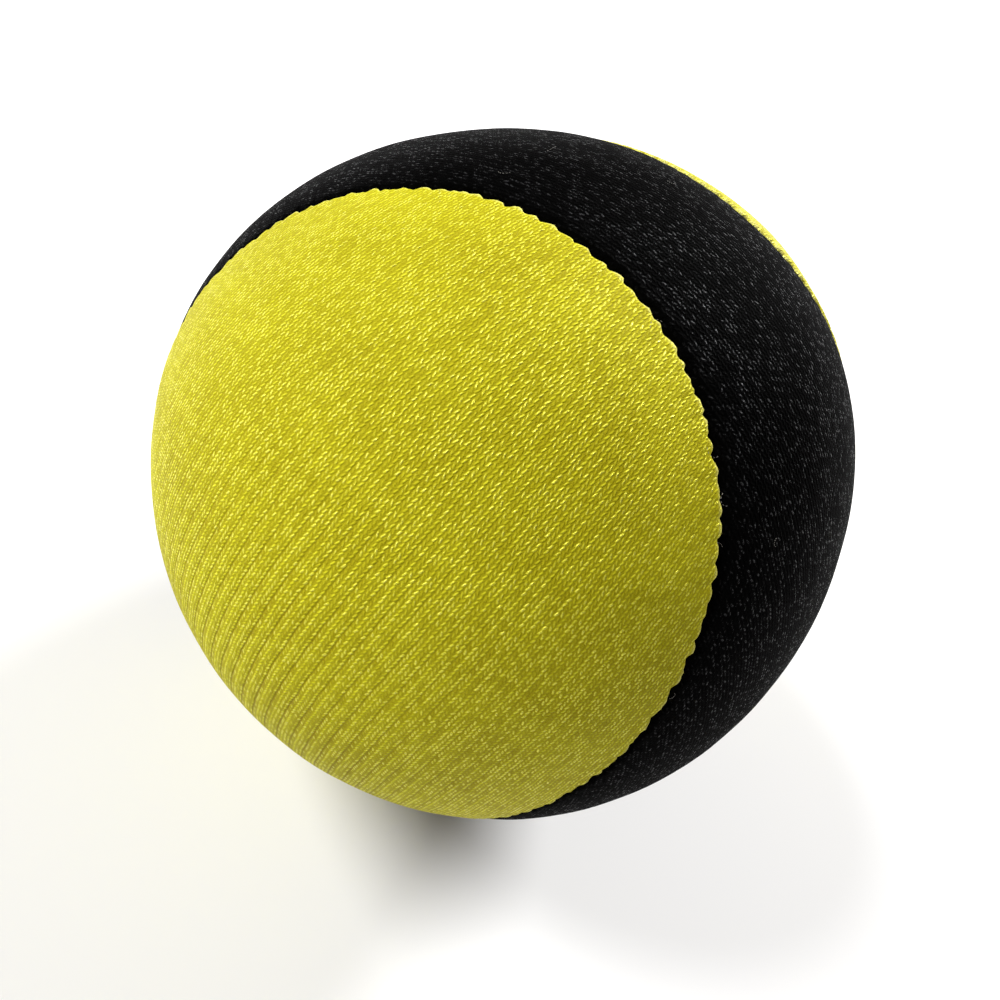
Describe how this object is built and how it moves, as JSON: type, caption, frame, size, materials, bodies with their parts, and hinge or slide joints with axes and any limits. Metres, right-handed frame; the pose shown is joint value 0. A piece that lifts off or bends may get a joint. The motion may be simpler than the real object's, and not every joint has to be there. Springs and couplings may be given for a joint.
{
  "type": "juggling ball",
  "caption": "Soft round juggling ball: a grain-filled bag sewn from an interlocking yellow and a black dumbbell-shaped panel of shiny stretch cloth",
  "frame": {"origin": "the centre of the ball", "axes": "+Z out through the middle of the black panel's waist and -Z through the yellow panel's; the yellow lobes lie towards +X+Y and -X-Y, the black lobes towards +X-Y and -X+Y"},
  "size_m": [0.065, 0.065, 0.065],
  "materials": {
    "yellow_cloth": "shiny warp-knit stretch cloth, yellow",
    "black_cloth": "shiny warp-knit stretch cloth, black",
    "thread": "black polyester sewing thread",
    "grain": "packed dry seed grain"
  },
  "bodies": {
    "root": {"yellow_panel": "yellow_cloth", "black_panel": "black_cloth", "needle_thread": "thread", "bobbin_thread": "thread", "closing_thread": "thread", "grain_fill": "grain"}
  },
  "joints": []
}
